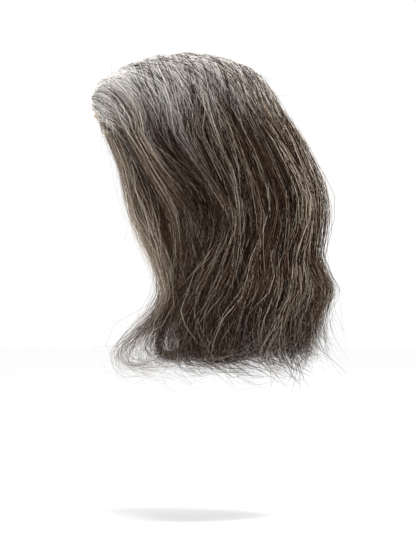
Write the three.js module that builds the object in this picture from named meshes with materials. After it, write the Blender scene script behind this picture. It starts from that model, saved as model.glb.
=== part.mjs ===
// A shoulder-length wig with a lace front: a thin cap that fits the head, and twelve sections of hair
// that are tied to it, each a closed wall of hair with its own outer form.
// Millimetres, +Z up. The origin is the inside of the cap's crown, where it sits on the head.
// The face looks along -Y, and the wearer's left is +X.

import * as THREE from "three";

// The head that the cap fits: half an ellipsoid and a little more, with its top at the origin.
const HEAD = { halfWidth: 77, halfLength: 96, height: 90, middleY: -8 };

// The cap: four pieces of one wall that meet at seams.
const CAP_WALL = 1.2;
const CROWN_ANGLE = 34;
const CAP_SEAM_ANGLE = 0.25;
const LACE_DEPTH_ANGLE = 20;
const NAPE_BAND_ANGLE = 8;
const EAR_SEAM_AZIMUTH = 90;
const EAR_SEAM_BLEND = 8;
const HAIR_TO_CAP_GAP = 1.5;

// The cap's lower edge, as an angle down from the crown, by azimuth from the forehead round to the nape.
// The first and the last row mirror their neighbours' neighbours, so that the edge is level at both middles.
const CAP_EDGE = [
  { azimuth: -28, polar: 71 },
  { azimuth: 0, polar: 65.5 }, // forehead, a little below the hairline
  { azimuth: 28, polar: 71 },
  { azimuth: 48, polar: 87 }, // temple
  { azimuth: 74, polar: 115 }, // ear tab
  { azimuth: 100, polar: 99 }, // over the ear
  { azimuth: 132, polar: 120 }, // behind the ear
  { azimuth: 180, polar: 138 }, // nape
  { azimuth: 228, polar: 120 },
];

// The hair's outer form by level, from the crest down to the tips.
// front, back and side are its reach along -Y, +Y and X, edge is where the hair beside the face begins,
// and wall is the thickness of the hair. Below the hairline, front is where the form would close.
const HAIRLINE_Z = -46;
const TEMPLE_Z = -76;
const LEVELS = [
  { z: 9.5, front: -8, back: -8, side: 0, edge: -8, wall: 30 }, // crest
  { z: 8, front: -29, back: 16, side: 26, edge: -29, wall: 30 },
  { z: 3.5, front: -49, back: 38, side: 45, edge: -49, wall: 30 },
  { z: -5, front: -70, back: 60, side: 62, edge: -70, wall: 30 },
  { z: -18, front: -90, back: 75, side: 76, edge: -90, wall: 30 },
  { z: -32, front: -98, back: 84, side: 84, edge: -98, wall: 30 },
  { z: HAIRLINE_Z, front: -99, back: 91, side: 89, edge: -98.9, wall: 30 },
  { z: -60, front: -102, back: 102, side: 93, edge: -93, wall: 30 },
  { z: TEMPLE_Z, front: -104, back: 115, side: 96, edge: -87, wall: 30 }, // hair hangs free from here
  { z: -100, front: -104, back: 128, side: 99, edge: -79, wall: 34 },
  { z: -125, front: -104, back: 141, side: 102, edge: -73, wall: 36 },
  { z: -150, front: -104, back: 145, side: 105, edge: -67, wall: 36 }, // fullest at the back
  { z: -175, front: -104, back: 142, side: 105, edge: -56, wall: 32 },
  { z: -196, front: -104, back: 137, side: 103, edge: -45, wall: 28 }, // dent above the flick
  { z: -212, front: -104, back: 144, side: 104, edge: -38, wall: 27 },
  { z: -228, front: -104, back: 148, side: 106, edge: -34, wall: 26 }, // flick at the back
  { z: -246, front: -104, back: 139, side: 105, edge: -42, wall: 24 },
  { z: -266, front: -104, back: 134, side: 103, edge: -62, wall: 22 },
  { z: -284, front: -104, back: 132, side: 101, edge: -77, wall: 20 }, // front locks turn forward
  { z: -302, front: -104, back: 130, side: 98, edge: -69, wall: 16 },
  { z: -316, front: -104, back: 126, side: 95, edge: -49, wall: 12 },
  { z: -328, front: -104, back: 120, side: 91, edge: -26, wall: 7 }, // tips
];
const HAIRLINE_LEVEL = LEVELS.findIndex((level) => level.z === HAIRLINE_Z);
const TEMPLE_LEVEL = LEVELS.findIndex((level) => level.z === TEMPLE_Z);

// How the hair lies: it leaves the hairline and the parting, sweeps back over the head, and hangs.
const HAIRLINE_SHARE = 0.22; // share of one side that starts at the hairline; the parting has the rest
const PARTING_END = 0.45; // how far the parting runs past the crest towards the crown
const TEMPLE_ROOT = 0.86; // where the hair beside the face starts, on the way from the crest to the temple
const SWEEP_PULL = 0.5; // how early a lock turns towards where it hangs
const WAVE_EASE = 0.4; // how far the wave of the hair beside the face is spread out towards the back
const ROOT_RISE = 0.16; // share of the way over the head in which the hair reaches its full thickness
const ROOT_WALL = 1.2;
const MIDDLE_GAP = 0.4; // half the gap between the left and the right hair
const LOCK_GAP = 0.7;
const LOCK_GROOVE = 4; // how far a lock's outer face drops at its two sides
const TIP_ROUND = 0.04; // how much shorter a lock's two sides hang than its middle, as a share of its fall
const LAST_ROW_SPACE = 0.01; // least share of the fall between the last two rows of facets
const THIN_EDGE = { share: 0.14, wall: 0.3 }; // the hair beside the face is thinner

// The sections of hair on each side, from the face round to the middle of the back.
// end is how far down its own length each one hangs, and columns are its facets across.
const SECTIONS = [
  { name: "temple", from: 0, to: 0.1, end: 0.95, columns: 3 },
  { name: "forelock", from: 0.1, to: HAIRLINE_SHARE, end: 0.98, columns: 4 },
  { name: "side_front", from: HAIRLINE_SHARE, to: 0.42, end: 1, columns: 5 },
  { name: "side_back", from: 0.42, to: 0.62, end: 0.99, columns: 5 },
  { name: "crown", from: 0.62, to: 0.81, end: 0.96, columns: 5 },
  { name: "back", from: 0.81, to: 1, end: 0.98, columns: 5 },
];

// Facets of each wall, along it.
const CAP_COLUMN_ANGLE = 9;
const CAP_ROWS = { crown: 3, sides: 5, lace: 3, band: 2 };
const LOCK_ROWS = { overHead: 10, fall: 20 };

const rad = THREE.MathUtils.degToRad;
const lerp = THREE.MathUtils.lerp;
const clamp = THREE.MathUtils.clamp;
const smooth = THREE.MathUtils.smoothstep;

// Value of a column at a place on another column, on a smooth curve through the rows.
function along(rows, keyOf, valueOf, at) {
  const last = rows.length - 1;
  let i = 0;
  while (i < last - 1 && at > keyOf(rows[i + 1])) i += 1;
  const [before, start, end, after] = [i - 1, i, i + 1, i + 2].map((k) => rows[clamp(k, 0, last)]);
  const span = keyOf(end) - keyOf(start);
  const slope = (a, b) => (valueOf(b) - valueOf(a)) / Math.max(keyOf(b) - keyOf(a), 1e-6);
  const u = clamp((at - keyOf(start)) / span, 0, 1);
  const rise = valueOf(end) - valueOf(start);
  const slopeIn = slope(before, end) * span;
  const slopeOut = slope(start, after) * span;
  const bend = slopeIn + slopeOut - 2 * rise;
  return valueOf(start) + u * (slopeIn + u * (3 * rise - 2 * slopeIn - slopeOut + u * bend));
}

// A point on the head, lifted off it. Azimuth runs from the face to the wearer's left.
function headPoint(azimuth, polar, lift) {
  const around = rad(azimuth);
  const down = rad(polar);
  return new THREE.Vector3(
    (HEAD.halfWidth + lift) * Math.sin(down) * Math.sin(around),
    HEAD.middleY - (HEAD.halfLength + lift) * Math.sin(down) * Math.cos(around),
    (HEAD.height + lift) * Math.cos(down) - HEAD.height,
  );
}

// A closed body from two faces of the same grid: outer(i, j) and inner(i, j), each i across and j down.
// A grid that closes round itself has no side walls, and a row that shrinks to a point gives no triangles.
function wallBetween(outer, inner, columns, rows, isRound = false) {
  const corners = [];
  const add = (a, b, c) => {
    const edges = [a.distanceTo(b), b.distanceTo(c), c.distanceTo(a)];
    if (Math.min(...edges) > 1e-6) corners.push(a, b, c);
  };
  const quad = (a, b, c, d) => {
    add(a, b, c);
    add(a, c, d);
  };
  for (let j = 0; j < rows; j += 1) {
    for (let i = 0; i < columns; i += 1) {
      quad(outer(i, j), outer(i, j + 1), outer(i + 1, j + 1), outer(i + 1, j));
      quad(inner(i, j), inner(i + 1, j), inner(i + 1, j + 1), inner(i, j + 1));
    }
    if (!isRound) {
      quad(outer(0, j), inner(0, j), inner(0, j + 1), outer(0, j + 1));
      quad(outer(columns, j), outer(columns, j + 1), inner(columns, j + 1), inner(columns, j));
    }
  }
  for (let i = 0; i < columns; i += 1) {
    quad(outer(i, 0), outer(i + 1, 0), inner(i + 1, 0), inner(i, 0));
    quad(outer(i, rows), inner(i, rows), inner(i + 1, rows), outer(i + 1, rows));
  }
  const geometry = new THREE.BufferGeometry().setFromPoints(corners);
  geometry.computeVertexNormals();
  return geometry;
}

// The cap's lower edge and the seam above it, at an azimuth on either side of the face.
function capEdge(azimuth) {
  const turned = Math.abs(azimuth > 180 ? azimuth - 360 : azimuth);
  return along(CAP_EDGE, (row) => row.azimuth, (row) => row.polar, turned);
}

function capSeam(azimuth) {
  const turned = Math.abs(azimuth > 180 ? azimuth - 360 : azimuth);
  const behindEar = smooth(turned, EAR_SEAM_AZIMUTH - EAR_SEAM_BLEND, EAR_SEAM_AZIMUTH + EAR_SEAM_BLEND);
  return capEdge(azimuth) - lerp(LACE_DEPTH_ANGLE, NAPE_BAND_ANGLE, behindEar);
}

// A piece of the cap from one azimuth to another, between two angles down from the crown.
// Every piece has its columns at the same azimuths, so that seams stay even.
function capPiece(fromAzimuth, toAzimuth, topAngle, bottomAngle, down) {
  const isRound = toAzimuth - fromAzimuth === 360;
  const columns = (toAzimuth - fromAzimuth) / CAP_COLUMN_ANGLE;
  const endGap = isRound ? 0 : CAP_SEAM_ANGLE;
  const face = (lift) => (i, j) => {
    const column = fromAzimuth + (isRound ? i % columns : i) * CAP_COLUMN_ANGLE;
    const azimuth = clamp(column, fromAzimuth + endGap, toAzimuth - endGap);
    return headPoint(azimuth, lerp(topAngle(azimuth), bottomAngle(azimuth), j / down), lift);
  };
  return wallBetween(face(CAP_WALL), face(0), columns, down, isRound);
}

// Each level's place on the way down, counted along the side of the form: 0 at the crest, 1 at the temple.
const levelPlaces = [0];
LEVELS.slice(1).forEach((level, i) => {
  const step = Math.hypot(level.side - LEVELS[i].side, level.z - LEVELS[i].z);
  levelPlaces.push(levelPlaces[i] + step);
});
const toTemple = levelPlaces[TEMPLE_LEVEL];
const FORM = LEVELS.map((level, i) => ({ ...level, place: levelPlaces[i] / toTemple }));
const HAIRLINE_PLACE = FORM[HAIRLINE_LEVEL].place;
const TIP_PLACE = FORM[FORM.length - 1].place;

function formAt(column, place) {
  return along(FORM, (level) => level.place, (level) => level[column], place);
}

// The angle round the head, from the face, at which the hair begins at this place.
function edgeAngle(place) {
  if (place <= HAIRLINE_PLACE) return 0;
  const reach = (HEAD.middleY - formAt("edge", place)) / (HEAD.middleY - formAt("front", place));
  return Math.acos(clamp(reach, -1, 1));
}

// The line that a hair follows on one side: share 0 hangs beside the face, 1 down the middle of the back.
// Way 0 is its root, 1 is where it passes the temple's level, and 2 is its tip. Gives a place and an angle.
function flow(share, way) {
  const hang = (place) => {
    const ease = share * WAVE_EASE;
    const start = (edgeAngle(place - ease) + 2 * edgeAngle(place) + edgeAngle(place + ease)) / 4;
    return start + share * (Math.PI - start);
  };
  if (way >= 1) {
    const place = lerp(1, TIP_PLACE, way - 1);
    return { place, angle: hang(place) };
  }
  const onPlan = (place, angle) => new THREE.Vector2(place * Math.sin(angle), -place * Math.cos(angle));
  const end = onPlan(1, hang(1));
  const fromHairline = Math.min(share / HAIRLINE_SHARE, 1);
  const pull = end.clone().multiplyScalar(lerp(1, SWEEP_PULL, fromHairline));
  const root = new THREE.Vector2();
  if (share < HAIRLINE_SHARE) {
    const place = lerp(TEMPLE_ROOT, HAIRLINE_PLACE, fromHairline);
    root.copy(onPlan(place, edgeAngle(place)));
  } else {
    const back = Math.sin(((share - HAIRLINE_SHARE) / (1 - HAIRLINE_SHARE)) * (Math.PI / 2));
    root.set(0, lerp(-HAIRLINE_PLACE, PARTING_END, back));
  }
  const point = new THREE.QuadraticBezierCurve(root, pull, end).getPoint(way);
  return { place: point.length(), angle: Math.atan2(point.x, -point.y) };
}

// The outer form at a place and an angle.
function outerPoint(place, angle) {
  const reachFront = HEAD.middleY - formAt("front", place);
  const reachBack = formAt("back", place) - HEAD.middleY;
  const reach = Math.cos(angle) > 0 ? reachFront : reachBack;
  return new THREE.Vector3(
    formAt("side", place) * Math.sin(angle),
    HEAD.middleY - reach * Math.cos(angle),
    formAt("z", place),
  );
}

// Where the hair's wall ends inside: at the cap, or a wall's thickness in from the outer form,
// whichever is further out.
function innerPoint(outer, wall) {
  const heart = new THREE.Vector3(0, HEAD.middleY, Math.min(outer.z, -HEAD.height));
  const lift = CAP_WALL + HAIR_TO_CAP_GAP;
  const ray = outer.clone().sub(heart);
  const onHead = new THREE.Vector3(
    ray.x / (HEAD.halfWidth + lift),
    ray.y / (HEAD.halfLength + lift),
    ray.z / (HEAD.height + lift),
  );
  const below = Math.max((heart.z + HEAD.height) / (HEAD.height + lift), -1);
  const toCap = Math.sqrt(1 - below * below) / onHead.length();
  const toWall = 1 - wall / ray.length();
  return heart.add(ray.multiplyScalar(Math.max(toCap, toWall)));
}

// One section of hair on the wearer's left: a wall between the cap and the outer form, along the flow.
// Neighbours have their rows at the same ways, so that the gap between them stays even.
function hairSection({ from, to, end, columns }) {
  const { overHead, fall } = LOCK_ROWS;
  const hanging = Math.floor((end - TIP_ROUND - LAST_ROW_SPACE) * fall);
  const rows = overHead + hanging + 1;
  const wayAt = (j, offMiddle) => {
    if (j <= overHead) return j / overHead;
    return j < rows ? 1 + (j - overHead) / fall : 1 + end - TIP_ROUND * offMiddle ** 2;
  };
  const points = new Map();
  const pair = (i, j) => {
    const key = `${i},${j}`;
    if (points.has(key)) return points.get(key);
    const offMiddle = Math.abs((2 * i) / columns - 1);
    const way = wayAt(j, offMiddle);
    const middle = flow((from + to) / 2, way);
    const girth = Math.max(formAt("side", middle.place), 20) * Math.PI;
    const inset = LOCK_GAP / 2 / girth;
    const share = lerp(from + inset, to - inset, i / columns);
    const { place, angle } = flow(share, way);
    const thin = lerp(THIN_EDGE.wall, 1, smooth(share, 0, THIN_EDGE.share));
    const full = outerPoint(place, angle);
    const inner = innerPoint(full, formAt("wall", place) * lerp(1, thin, smooth(way, 1, 1.25)));
    const depth = full.distanceTo(inner);
    const groove = Math.min(LOCK_GROOVE, depth / 3) * offMiddle ** 2;
    const risen = lerp(ROOT_WALL / depth, 1, smooth(way, 0, ROOT_RISE));
    const outer = inner.clone().lerp(full, Math.max(risen - groove / depth, ROOT_WALL / depth));
    const found = [outer, inner];
    found.forEach((point) => point.setX(point.x + MIDDLE_GAP));
    points.set(key, found);
    return found;
  };
  return wallBetween(
    (i, j) => pair(i, j)[0],
    (i, j) => pair(i, j)[1],
    columns,
    rows,
  );
}

const laceMaterial = new THREE.MeshStandardMaterial({ color: 0xb9a58c, roughness: 0.8, metalness: 0 });
const netMaterial = new THREE.MeshStandardMaterial({ color: 0x2a2320, roughness: 0.9, metalness: 0 });
const bandMaterial = new THREE.MeshStandardMaterial({ color: 0x1f1a18, roughness: 0.85, metalness: 0 });
const hairMaterial = new THREE.MeshStandardMaterial({ color: 0x51473f, roughness: 0.55, metalness: 0 });

function named(name, geometry, material) {
  const mesh = new THREE.Mesh(geometry, material);
  mesh.name = name;
  return mesh;
}

function capBase() {
  const cap = new THREE.Group();
  const ear = EAR_SEAM_AZIMUTH;
  const top = () => 0;
  const crownEdge = () => CROWN_ANGLE;
  const underCrown = () => CROWN_ANGLE + CAP_SEAM_ANGLE;
  const underSeam = (azimuth) => capSeam(azimuth) + CAP_SEAM_ANGLE;
  cap.add(
    named("lace_front", capPiece(-ear, ear, underSeam, capEdge, CAP_ROWS.lace), laceMaterial),
    named("cap_crown", capPiece(0, 360, top, crownEdge, CAP_ROWS.crown), netMaterial),
    named("cap_sides", capPiece(0, 360, underCrown, capSeam, CAP_ROWS.sides), netMaterial),
    named("nape_band", capPiece(ear, 360 - ear, underSeam, capEdge, CAP_ROWS.band), bandMaterial),
  );
  return cap;
}

function hair() {
  const all = new THREE.Group();
  SECTIONS.forEach((section) => {
    const geometry = hairSection(section);
    const left = named(`hair_${section.name}_left`, geometry, hairMaterial);
    const right = named(`hair_${section.name}_right`, geometry, hairMaterial);
    right.scale.x = -1;
    all.add(left, right);
  });
  return all;
}

const wig = new THREE.Group();
wig.add(capBase(), hair());

export default wig;
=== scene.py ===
# A shoulder-length wig with a lace front: twelve sections of wavy salt and pepper hair, a sheer lace strip
# along the hairline, a stretch net cap with sewn weft rows, and an elastic band at the nape.
# Hair and cap are worked out in millimetres. The cuts of cloth, the studio and the scene are in metres.
# +Z is up, the face looks along -Y, and the wearer's left is +X.
import math
from types import SimpleNamespace

import bpy
import numpy as np
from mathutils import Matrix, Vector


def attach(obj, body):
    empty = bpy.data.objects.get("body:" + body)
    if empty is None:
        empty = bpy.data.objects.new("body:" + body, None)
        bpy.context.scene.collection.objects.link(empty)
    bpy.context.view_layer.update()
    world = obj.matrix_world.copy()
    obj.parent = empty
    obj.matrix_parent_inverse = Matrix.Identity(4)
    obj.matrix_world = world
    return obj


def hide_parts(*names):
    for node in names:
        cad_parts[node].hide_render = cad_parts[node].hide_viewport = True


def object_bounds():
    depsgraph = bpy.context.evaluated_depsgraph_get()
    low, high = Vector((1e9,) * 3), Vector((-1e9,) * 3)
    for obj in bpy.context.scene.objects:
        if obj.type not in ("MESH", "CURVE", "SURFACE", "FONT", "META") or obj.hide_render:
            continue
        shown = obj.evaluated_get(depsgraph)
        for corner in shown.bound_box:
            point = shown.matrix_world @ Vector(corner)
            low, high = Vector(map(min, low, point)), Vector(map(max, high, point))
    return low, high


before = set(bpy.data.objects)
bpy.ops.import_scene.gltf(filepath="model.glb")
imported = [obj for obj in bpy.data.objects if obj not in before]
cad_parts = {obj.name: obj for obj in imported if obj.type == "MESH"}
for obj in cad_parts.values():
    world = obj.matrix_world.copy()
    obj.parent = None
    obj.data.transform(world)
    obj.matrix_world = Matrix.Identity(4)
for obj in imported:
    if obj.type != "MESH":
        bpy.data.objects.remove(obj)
cad_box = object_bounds()

MM = 0.001
TINY = 1e-9

# The head that the cap fits, with its top at the origin.
HEAD_HALF_WIDTH = 77
HEAD_HALF_LENGTH = 96
HEAD_HEIGHT = 90
HEAD_MIDDLE_Y = -8

# The cap's wall, and its lower edge as an angle down from the crown by azimuth from the forehead.
# The first and the last row keep the edge level at both middles.
CAP_WALL = 1.2
CROWN_ANGLE = 34
SEAM_ANGLE = 0.25
LACE_DEPTH_ANGLE = 20
NAPE_BAND_ANGLE = 8
EAR_SEAM_AZIMUTH = 90
EAR_SEAM_BLEND = 8
CAP_EDGE = [
    {"azimuth": -28, "polar": 71},
    {"azimuth": 0, "polar": 65.5},
    {"azimuth": 28, "polar": 71},
    {"azimuth": 48, "polar": 87},
    {"azimuth": 74, "polar": 115},
    {"azimuth": 100, "polar": 99},
    {"azimuth": 132, "polar": 120},
    {"azimuth": 180, "polar": 138},
    {"azimuth": 228, "polar": 120},
]

# The lace is a fine film with a net of threads. The cap's net carries bands to which the wefts are sewn,
# and the nape band is ribbed elastic. lift is the height of a piece over the head.
LACE = {"lift": 0.4, "wall": 0.25, "columns": 96, "rows": 9, "thread": 0.26}
NET = {"lift": 0.3, "wall": 0.6, "crown_grid": 28, "side_columns": 96, "side_rows": 20}
WEFT = {"lift": -0.5, "wall": 0.6, "first": 42, "step": 8, "half_width": 1.4, "clear": 3, "columns": 48}
BAND = {"lift": 0.1, "wall": 0.7, "columns": 90, "rows": 20, "ribs": 5, "rib": 0.3}
MERGE_GAP = 0.01
SHADE_ANGLE = math.radians(40)

# The hair's outer form by level, from the crest down to the wisps under the tips.
# front, back and side are its reach along -Y, +Y and X, edge is where the hair beside the face begins,
# and wall is the thickness of the hair.
HAIRLINE_Z = -46
TEMPLE_Z = -76
TIPS_Z = -328
CREST_PLACE = 0.01
LEVELS = [
    {"z": 9.5, "front": -8, "back": -8, "side": 0, "edge": -8, "wall": 30},
    {"z": 8, "front": -29, "back": 16, "side": 26, "edge": -29, "wall": 30},
    {"z": 3.5, "front": -49, "back": 38, "side": 45, "edge": -49, "wall": 30},
    {"z": -5, "front": -70, "back": 60, "side": 62, "edge": -70, "wall": 30},
    {"z": -18, "front": -90, "back": 75, "side": 76, "edge": -90, "wall": 30},
    {"z": -32, "front": -98, "back": 84, "side": 84, "edge": -98, "wall": 30},
    {"z": HAIRLINE_Z, "front": -99, "back": 91, "side": 89, "edge": -98.9, "wall": 30},
    {"z": -60, "front": -102, "back": 102, "side": 93, "edge": -93, "wall": 30},
    {"z": TEMPLE_Z, "front": -104, "back": 115, "side": 96, "edge": -87, "wall": 30},
    {"z": -100, "front": -104, "back": 128, "side": 99, "edge": -79, "wall": 34},
    {"z": -125, "front": -104, "back": 141, "side": 102, "edge": -73, "wall": 36},
    {"z": -150, "front": -104, "back": 145, "side": 105, "edge": -67, "wall": 36},
    {"z": -175, "front": -104, "back": 142, "side": 105, "edge": -56, "wall": 32},
    {"z": -196, "front": -104, "back": 137, "side": 103, "edge": -45, "wall": 28},
    {"z": -212, "front": -104, "back": 144, "side": 104, "edge": -38, "wall": 27},
    {"z": -228, "front": -104, "back": 148, "side": 106, "edge": -34, "wall": 26},
    {"z": -246, "front": -104, "back": 139, "side": 105, "edge": -42, "wall": 24},
    {"z": -266, "front": -104, "back": 134, "side": 103, "edge": -62, "wall": 22},
    {"z": -284, "front": -104, "back": 132, "side": 101, "edge": -77, "wall": 20},
    {"z": -302, "front": -104, "back": 130, "side": 98, "edge": -69, "wall": 16},
    {"z": -316, "front": -104, "back": 126, "side": 95, "edge": -49, "wall": 12},
    {"z": TIPS_Z, "front": -104, "back": 120, "side": 91, "edge": -26, "wall": 7},
    {"z": -346, "front": -104, "back": 112, "side": 86, "edge": -8, "wall": 5},
]

# How the hair lies: it leaves the hairline and the parting, sweeps back over the head, and hangs.
# A share counts round the head, 0 beside the face and 1 at the middle of the back. A way counts down a hair,
# 0 at the root, 1 at the temple's level and 2 at the tips. A pair of them is where a change starts and ends.
HAIRLINE_SHARE = 0.11
PARTING_END = 0.45
TEMPLE_ROOT = 0.86
SWEEP_PULL = 0.62
HAIRLINE_PULL = 0.85
HAIRLINE_TURN = 0.6
HAIRLINE_RECEDES = 0.08
CALM_ANGLE = math.radians(52)
CALM_SHARE = 0.25
FACE_GAP = 0.035
FACE_SQUEEZE = 0.5
THIN_EDGE = {"share": 0.14, "wall": 0.3, "ways": (1, 1.25)}
BACK_SHARES = (0.6, 0.8)

# The sections of hair on each side, from the face round to the middle of the back.
# strands and locks are counts, tip is how far down the fall the section hangs, silver is the share of strands
# that are bright at the root, and light the share of those that stay bright down their length.
SECTIONS = [
    {"name": "temple", "from": 0.0, "to": 0.1, "strands": 470, "locks": 9,
     "tip": 1.93, "silver": 0.95, "light": 0.85},
    {"name": "forelock", "from": 0.1, "to": 0.22, "strands": 830, "locks": 10,
     "tip": 1.95, "silver": 0.97, "light": 0.36},
    {"name": "side_front", "from": 0.22, "to": 0.42, "strands": 1020, "locks": 13,
     "tip": 1.93, "silver": 0.66, "light": 0.22},
    {"name": "side_back", "from": 0.42, "to": 0.62, "strands": 890, "locks": 12,
     "tip": 1.94, "silver": 0.42, "light": 0.45},
    {"name": "crown", "from": 0.62, "to": 0.81, "strands": 770, "locks": 11,
     "tip": 1.9, "silver": 0.44, "light": 0.56},
    {"name": "back", "from": 0.81, "to": 1.0, "strands": 740, "locks": 10,
     "tip": 1.85, "silver": 0.42, "light": 0.55},
]

# The fall of a lock, by the share at its root: the share it has swept back to at its turn, how far down that
# turn is, the share it then swings forward to, and the angle by which its tip curls back from there.
FALL = [
    {"root": 0, "turn": 0, "fore": -0.04, "turn_way": 1.54, "curl": 0.3},
    {"root": 0.07, "turn": 0.08, "fore": -0.04, "turn_way": 1.5, "curl": 0.5},
    {"root": 0.135, "turn": 0.25, "fore": 0.01, "turn_way": 1.45, "curl": 1.0},
    {"root": 0.2, "turn": 0.36, "fore": 0.09, "turn_way": 1.41, "curl": 1.9},
    {"root": 0.3, "turn": 0.44, "fore": 0.17, "turn_way": 1.37, "curl": 2.4},
    {"root": 0.49, "turn": 0.5, "fore": 0.3, "turn_way": 1.3, "curl": 2.4},
    {"root": 0.625, "turn": 0.64, "fore": 0.46, "turn_way": 1.26, "curl": 2.2},
    {"root": 0.7, "turn": 0.74, "fore": 0.58, "turn_way": 1.26, "curl": 1.9},
    {"root": 0.85, "turn": 0.88, "fore": 0.84, "turn_way": 1.26, "curl": 1.0},
    {"root": 1, "turn": 1, "fore": 1.02, "turn_way": 1.26, "curl": 0},
]
SWEEP_FROM = 0.95
SWEEP_EASE = (0.4, 0.4)
FORE_WAY = 1.82
FORE_EASE = (0.5, 0.2)
CURL_WAY = 2.0
CURL_BACK = {"share": 0.05, "at_back": 0.2, "shares": (0.8, 1)}
SLANT_WAYS = (0.2, 1.5)
SHARE_LIMITS = (-0.03, 1.15)

# The hair beside the neck is tucked in: where, how far round and down it reaches, and how deep it is.
TUCK = {"share": 0.34, "share_reach": 0.11, "way": 1.36, "way_reach": 0.3, "depth": 0.9}

# Locks differ by chance: how far down the tip is, how strong the wave and the curl, how slanted and how late
# the fall, how many strands stay bright, and how soon the silver fades. The tips of a bunch of locks gather.
LOCK = {
    "bunch": 3, "gather": 0.8, "gathered_spread": 0.35,
    "gather_ways": (1.45, 1.95), "loose_shares": (0.75, 0.9),
    "tip": 0.115, "tip_at_back": 0.35, "tip_shares": (0.65, 0.85),
    "wave": (0.8, 1.25), "curl": 0.5, "curl_at_back": 0.8, "slant": 0.022, "late": 0.05,
    "light": (0.7, 1.3), "fade": 0.05, "fade_behind": 0.09, "fade_shares": (0.3, 0.8),
}

# A tuft is a few strands that keep together. Its tip keeps part of its root's place in the lock and shifts.
# Its kinks have a height and a length, grow down the hair, and are flattened where there is little room.
TUFT = {
    "strands": 9, "keeps": 0.5, "shifts": 0.85, "silver": 0.2,
    "spread_ways": (0.2, 1.9), "clump_ways": (1.1, 1.6),
}
KINK = {
    "height": (0.7, 3.2), "length": (80, 160), "differs": 0.4, "turn_differs": 0.25, "flyaway": 1.5,
    "room": 4, "at_root": 0.3, "grow_ways": (0.2, 1.1), "more_ways": (1.3, 1.7), "out_pace": 0.7,
}
WAY_LENGTH = 230

# How single strands differ, and where they start and end.
STRAND = {
    "depth": 0.05, "root": (0.3, 1.1), "last_root": 0.95, "root_spread": 0.06, "at_root": 0.4, "at_tip": 2,
    "late": 0.02, "tip": 0.045, "shortest": 0.35, "lowest": 2.09, "wander": 0.9, "wander_grows": 1.5,
}

# Few of the hairs beside the face reach the tips, and most of those behind. The others are shorter.
LONG = {"face": 0.1, "behind": 0.92, "shares": (0.2, 0.47)}
SHORT = {"less": 0.4, "differs": 0.25, "under_differs": 0.35, "curl": 0.25}
SIDE_STARTS = (0.15, 0.3)
SIDE_ENDS = (0.45, 0.8)

# Roots over the top lie along the parting. Half of them are moved forward on it, and most a little across it.
OVER_TOP_SHARES = (HAIRLINE_SHARE, HAIRLINE_SHARE + 0.1)
FORWARD = {"share": 0.5, "differs": 0.8}
CROSS = (-0.05, 0.22)

# How high a strand lies over the cap: it rises from its root, low locks sink as they fall, and waves lift it.
ROOT_RISE = {"face": 0.06, "behind": 0.16, "shares": (0.2, 0.3)}
LOW_LOCK = {"depth": 0.55, "ways": (0.4, 1.3)}
WAVE_LIFT = {"height": 0.16, "ways": (1, 1.5)}
HANG_WAYS = (0.5, 1.3)
HIGHEST = 1.05

# The last points of a strand curl. The curl leaves the hair's surface by the angle aside, more so at the
# back, where tips also turn inward. Tips near the face all turn back. Loose wisps end in wide loops.
CURL = {
    "points": 10, "tightens": 1.4, "least": 1.2, "differs": 0.15, "differs_at_back": 0.4,
    "aside": 0.2, "aside_at_back": 0.35, "inward": 0.3, "face_share": 0.3,
}
WISP = {"share": 0.045, "longer": (0.02, 0.2), "loop": (1.5, 2.9), "backward": 0.5, "shares": (0.25, 0.6)}
FLYAWAY = {"share": 0.05, "width": 0.22, "off": (1, 6), "wander": 3}

# One strand stands for a few hairs that cling together. Its path is first worked out at many points, and its
# rings are then spaced by length and by bend. STRAY is the furthest that a path may leave the wig's own size.
SEED = {"first": 7, "by_section": 100, "by_side": 53}
PATH_POINTS = 49
BEND_WEIGHT = 1.4
SIDES = 3
STRAY = 11
STRAND_WIDTH = 0.41
WIDTH_DIFFERS = (0.8, 1.6)
SILVER_WIDTH = 0.75
LIGHT_WIDTH = 0.5
FACE_WIDTH = {"width": 0.6, "shares": (0, 0.1)}
TAPER = {"root": 0.7, "root_part": (0, 0.2), "tip": 0.14, "tip_part": (0.78, 1)}

# The hidden under layer and the outer one. share is the part of a section's strands, rings their points,
# width their thickness and clear their distance from the cap. light is 1 where bright strands, flyaways and
# wisps show, and even is 1 where strands are spread evenly and not by locks. deepest and highest bound the
# heights of hanging hair, top is the least height over the head, and first_root the first way of a root.
# turn, sweep, wave and curl are how far a layer follows those motions, spread, loose and clump how wide its
# tufts are, and shorter is how much its long strands at the side may lack.
# The under layer gets darker strands and no bright ones, as painted shade in the gaps between the outer
# strands.
LAYERS = [
    {"share": 0.31, "rings": 9, "width": 2.15, "clear": 2.6, "light": 0, "even": 1,
     "deepest": 0.1, "highest": 0.62, "top": 0.1, "first_root": 0.45, "turn": 0.35, "sweep": 0.5,
     "wave": 0.3, "curl": 0.7, "spread": 1.5, "loose": 0.5, "clump": 0.9, "shorter": 0.36},
    {"share": 0.71, "rings": 19, "width": 1, "clear": 0.6, "light": 1, "even": 0,
     "deepest": 0.5, "highest": 1.02, "top": 0.8, "first_root": 0, "turn": 1, "sweep": 1,
     "wave": 1, "curl": 1, "spread": 1, "loose": 0.14, "clump": 0.5, "shorter": 0},
]

# Short fine hairs on the outer strands: how many, how long and how bent. Those over the head are shorter.
FUZZ = {
    "share": 0.22, "rings": 5, "clear": 0.6, "length": (10, 38), "width": 0.16, "tip": 0.5,
    "curl": (0.2, 1.1), "off": (-0.4, 0.3), "over_head": 0.5, "fallen": (0.3, 0.5),
}

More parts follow.
